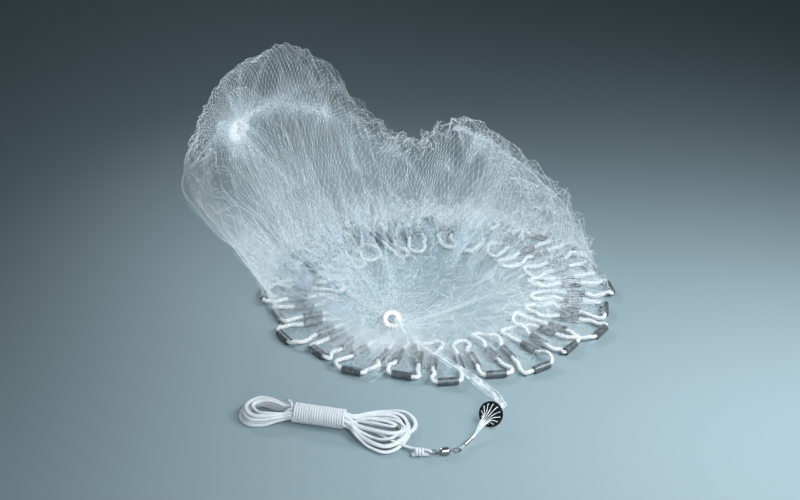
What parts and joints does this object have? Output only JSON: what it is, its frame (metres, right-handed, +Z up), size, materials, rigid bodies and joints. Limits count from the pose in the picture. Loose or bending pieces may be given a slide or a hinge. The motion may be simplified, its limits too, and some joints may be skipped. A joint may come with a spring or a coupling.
{
  "type": "cast net",
  "caption": "Round throw net of clear monofilament in a loose heap, with looped lead line and sinkers, horn, braille lines, separator disc, swivel and hand line in a hank.",
  "frame": {"origin": "on the floor, under the middle of the whole thing's box", "axes": "+Z up from the floor; -Y to the side where the hand line lies; +X to the right as seen from there, away from the tall dome of net"},
  "size_m": [0.5694, 0.5624, 0.3003],
  "materials": {
    "clear_monofilament": "clear nylon monofilament, knitted in small meshes",
    "white_rope": "white braided rope with a soft sheen",
    "lead": "dull dark lead, worn brighter on its high sides",
    "white_plastic": "moulded off-white plastic",
    "black_plastic": "moulded glossy black plastic",
    "nickel_plate": "nickel-plated metal, slightly dull"
  },
  "bodies": {
    "net": {"braille_ends": "clear_monofilament", "braille_lines": "clear_monofilament", "crimp_sleeve": "nickel_plate", "hand_line_end": "white_rope", "hand_line_hank": "white_rope", "horn": "white_plastic", "horn_lashing": "white_rope", "lead_line": "white_rope", "net_panel": "clear_monofilament", "separator_disc": "black_plastic", "sinker_01": "lead", "sinker_02": "lead", "sinker_03": "lead", "sinker_04": "lead", "sinker_05": "lead", "sinker_06": "lead", "sinker_07": "lead", "sinker_08": "lead", "sinker_09": "lead", "sinker_10": "lead", "sinker_11": "lead", "sinker_12": "lead", "sinker_13": "lead", "sinker_14": "lead", "sinker_15": "lead", "sinker_16": "lead", "sinker_17": "lead", "sinker_18": "lead", "sinker_19": "lead", "sinker_20": "lead", "sinker_21": "lead", "sinker_22": "lead", "sinker_23": "lead", "sinker_24": "lead", "sinker_25": "lead", "sinker_26": "lead", "sinker_27": "lead", "sinker_28": "lead", "sinker_29": "lead", "sinker_30": "lead", "sinker_31": "lead", "sinker_32": "lead", "sinker_33": "lead", "sinker_34": "lead", "sinker_35": "lead", "sinker_36": "lead", "sinker_37": "lead", "sinker_38": "lead", "sinker_39": "lead", "sinker_40": "lead", "sinker_41": "lead", "sinker_42": "lead", "sinker_43": "lead", "sinker_44": "lead", "sinker_45": "lead", "swivel_eye_line": "nickel_plate", "swivel_eye_net": "nickel_plate"},
    "barrel": {"swivel_barrel": "nickel_plate"}
  },
  "joints": [
    {"name": "barrel_spin", "type": "hinge", "parent": "net", "child": "barrel", "pos_m": [0.0503, -0.2735, 0.0048], "axis": [0.99, 0.141, 0], "continuous": true}
  ]
}
